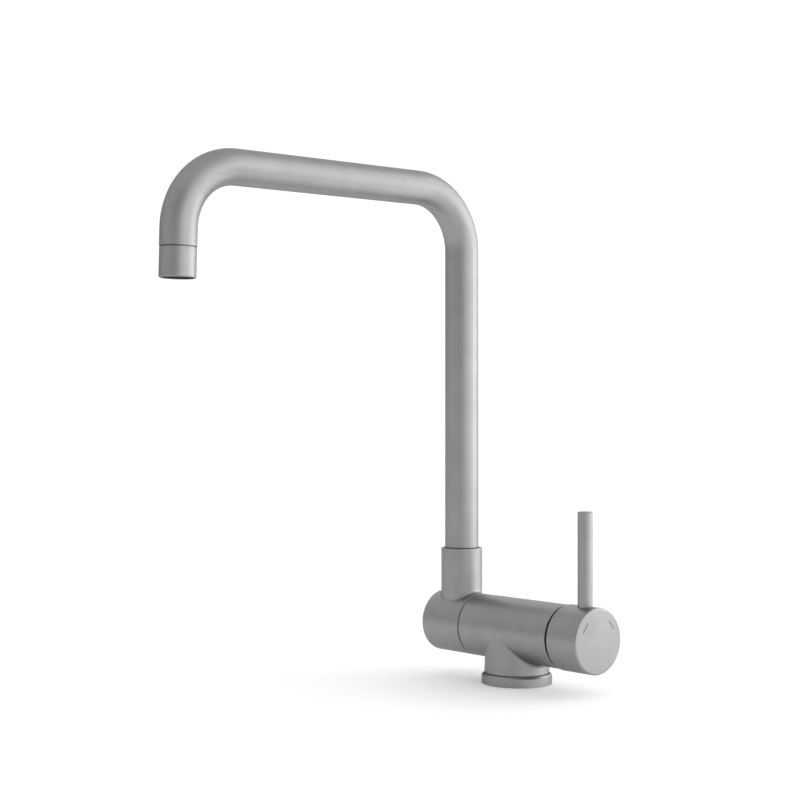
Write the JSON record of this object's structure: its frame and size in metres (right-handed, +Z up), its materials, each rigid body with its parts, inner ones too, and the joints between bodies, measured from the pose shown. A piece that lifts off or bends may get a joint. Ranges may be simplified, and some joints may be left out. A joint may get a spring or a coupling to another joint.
{
  "type": "folding tap",
  "caption": "Deck-mounted single-lever mixer tap with a horizontal barrel and a tall U-shaped spout that swivels and folds down about the barrel.",
  "frame": {"origin": "middle of the foot's underside, on the deck", "axes": "+X along the barrel towards the handle, -Y towards the user and the outlet, +Z up"},
  "size_m": [0.1511, 0.2789, 0.358],
  "materials": {
    "satin_steel": "satin brushed stainless steel",
    "plain_steel": "plain steel of fasteners and springs",
    "brass": "turned brass",
    "rubber": "matt seal rubber",
    "dark_plastic": "dark moulded plastic",
    "pale_plastic": "pale moulded plastic",
    "ceramic": "lapped ceramic"
  },
  "bodies": {
    "valve": {"valve_body": "satin_steel", "base_ring": "satin_steel", "base_seal": "rubber", "pivot_spindle": "brass", "spindle_gasket": "rubber", "pivot_seals": "rubber", "thrust_washer": "dark_plastic", "pressure_washer": "plain_steel", "disc_spring": "plain_steel", "pivot_nut": "brass", "stop_pin": "plain_steel", "cartridge_base": "dark_plastic", "port_seals": "rubber", "fixed_disc": "ceramic", "cartridge_housing": "pale_plastic", "cartridge_nut": "brass", "guide_ring": "dark_plastic"},
    "hub": {"fold_hub": "satin_steel", "hub_end_cap": "satin_steel", "lock_screw": "plain_steel"},
    "spout": {"spout_tube": "satin_steel", "spout_spigot": "brass", "spout_seals": "rubber", "glide_ring": "dark_plastic", "aerator_housing": "satin_steel", "aerator_insert": "dark_plastic", "aerator_seal": "rubber"},
    "handle": {"handle_cap": "satin_steel", "lever_pin": "satin_steel", "set_screw": "plain_steel", "cartridge_stem": "brass", "moving_disc": "ceramic"}
  },
  "joints": [
    {"name": "spout_fold", "type": "hinge", "parent": "valve", "child": "hub", "pos_m": [-0.0562, 0, 0.0367], "axis": [1, 0, 0], "range_deg": [0, 90]},
    {"name": "spout_swivel", "type": "hinge", "parent": "hub", "child": "spout", "pos_m": [-0.0562, 0, 0.0902], "axis": [0, 0, 1], "continuous": true},
    {"name": "lever_turn", "type": "hinge", "parent": "valve", "child": "handle", "pos_m": [0.0643, 0, 0.0367], "axis": [1, 0, 0], "range_deg": [0, 100]}
  ]
}
